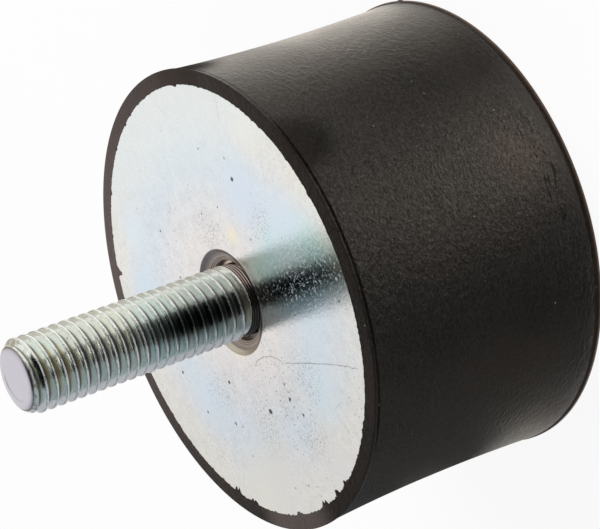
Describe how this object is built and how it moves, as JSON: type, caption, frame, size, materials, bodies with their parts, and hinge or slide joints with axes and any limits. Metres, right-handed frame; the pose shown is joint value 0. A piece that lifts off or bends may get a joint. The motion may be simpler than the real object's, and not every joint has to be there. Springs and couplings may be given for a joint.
{
  "type": "bobbin vibration mount",
  "caption": "Short rubber cylinder with a steel plate bonded into each end, a screw stud out of one plate and a threaded blind hole in the other.",
  "frame": {"origin": "centre of the back face, where the mount sits on its support", "axes": "+Z along the mount's axis, from the back face towards the stud's tip; X and Y are equal, since the form is round"},
  "size_m": [0.075, 0.075, 0.082],
  "materials": {
    "rubber": "satin, fine wrinkled skin",
    "front_plate_zinc": "clear-passivated zinc plate, faintly mottled",
    "stud_zinc": "bright zinc plate, rolled thread",
    "back_plate_zinc": "clear-passivated zinc plate, faintly mottled",
    "insert_zinc": "bright zinc plate, turned"
  },
  "bodies": {
    "root": {"rubber_body": "rubber", "front_plate": "front_plate_zinc", "front_stud": "stud_zinc", "back_plate": "back_plate_zinc", "back_insert": "insert_zinc"}
  },
  "joints": []
}
